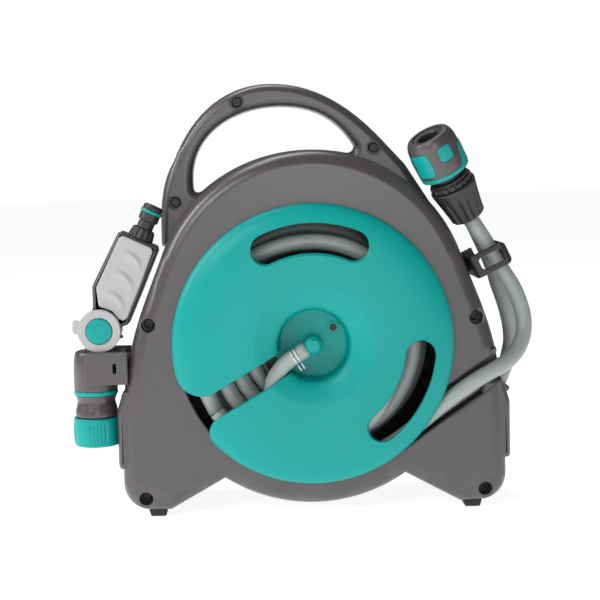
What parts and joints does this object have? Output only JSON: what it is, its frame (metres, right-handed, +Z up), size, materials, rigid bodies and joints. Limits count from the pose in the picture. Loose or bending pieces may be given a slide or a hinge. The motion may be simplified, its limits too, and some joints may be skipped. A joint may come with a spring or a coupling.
{
  "type": "hose reel",
  "caption": "Portable garden hose reel with carry handle, wound hose, spray gun in a side holster and two quick connectors.",
  "frame": {"origin": "on the floor under the middle of the box of the reel, without its hoses", "axes": "+Z up, -Y out of the front disc, +X to the right seen from the front, drum axis along Y"},
  "size_m": [0.3677, 0.1438, 0.34],
  "materials": {
    "housing": "satin moulded",
    "black_plastic": "fine matt",
    "teal_plastic": "semi gloss moulded",
    "grip_plastic": "soft matt",
    "hose": "satin PVC",
    "steel": "plated",
    "rubber": "matt"
  },
  "bodies": {
    "housing": {"front_shell": "housing", "rear_shell": "housing", "housing_screws": "steel", "feet": "rubber", "hose_clip": "black_plastic", "holster": "housing", "holster_screws": "steel", "swivel_collar": "teal_plastic", "collar_screws": "steel", "rear_bush": "grip_plastic", "supply_pipe": "black_plastic", "inlet_gland": "black_plastic", "hose_lead": "hose", "inlet_hose": "hose", "lead_body": "black_plastic", "lead_nut": "black_plastic", "lead_seal": "rubber", "supply_body": "black_plastic", "supply_nut": "black_plastic", "supply_seal": "rubber"},
    "drum": {"front_disc": "teal_plastic", "drum_core": "housing", "rear_flange": "housing", "hub_barb": "teal_plastic", "hub_screws": "steel", "hose_clamp": "steel", "flange_screws": "steel", "drum_shaft": "black_plastic", "shaft_seals": "rubber", "retaining_ring": "steel", "crank_arm": "housing", "crank_screw": "steel", "knob_hinge_pin": "steel", "hose_hub": "hose", "hose_coil": "hose"},
    "knob_bracket": {"knob_bracket": "black_plastic"},
    "crank_knob": {"crank_knob": "teal_plastic"},
    "spray_gun": {"gun_front_shell": "housing", "gun_rear_shell": "housing", "gun_screws": "steel", "grip_pad": "grip_plastic", "barrel": "housing", "barrel_band": "teal_plastic", "valve_seal": "rubber", "hose_adapter": "black_plastic", "male_nipple": "black_plastic", "nipple_seal": "rubber"},
    "spray_head": {"head_ring": "teal_plastic", "spray_plate": "black_plastic"},
    "flow_lever": {"flow_lever": "grip_plastic", "lever_cap": "teal_plastic", "valve_plug": "grip_plastic"},
    "lead_sleeve": {"lead_sleeve": "black_plastic", "lead_pads": "teal_plastic"},
    "supply_sleeve": {"supply_sleeve": "black_plastic", "supply_pads": "teal_plastic"}
  },
  "joints": [
    {"name": "drum_spin", "type": "hinge", "parent": "housing", "child": "drum", "pos_m": [0.01185, -0.0075, 0.136], "axis": [0, 1, 0], "continuous": true},
    {"name": "knob_fold", "type": "hinge", "parent": "drum", "child": "knob_bracket", "pos_m": [0.08385, 0.061, 0.136], "axis": [0, 0, 1], "range_deg": [-90, 0]},
    {"name": "knob_spin", "type": "hinge", "parent": "knob_bracket", "child": "crank_knob", "pos_m": [0.07445, 0.061, 0.136], "axis": [1, 0, 0], "continuous": true},
    {"name": "gun_lift_off", "type": "slide", "parent": "housing", "child": "spray_gun", "axis": [-1, 0, 0], "range_m": [0, 0.06]},
    {"name": "spray_head_turn", "type": "hinge", "parent": "spray_gun", "child": "spray_head", "pos_m": [-0.16065, -0.0355, 0.06], "axis": [0, 0, 1], "range_deg": [-90, 90]},
    {"name": "flow_lever_turn", "type": "hinge", "parent": "spray_gun", "child": "flow_lever", "pos_m": [-0.15465, -0.0355, 0.15], "axis": [0, 1, 0], "range_deg": [0, 80]},
    {"name": "lead_sleeve_slide", "type": "slide", "parent": "housing", "child": "lead_sleeve", "axis": [0.4619, 0.2886, -0.8387], "range_m": [0, 0.003], "stiffness_N_per_m": 600},
    {"name": "supply_sleeve_slide", "type": "slide", "parent": "housing", "child": "supply_sleeve", "axis": [0.4534, 0.0238, -0.891], "range_m": [0, 0.003], "stiffness_N_per_m": 600}
  ]
}
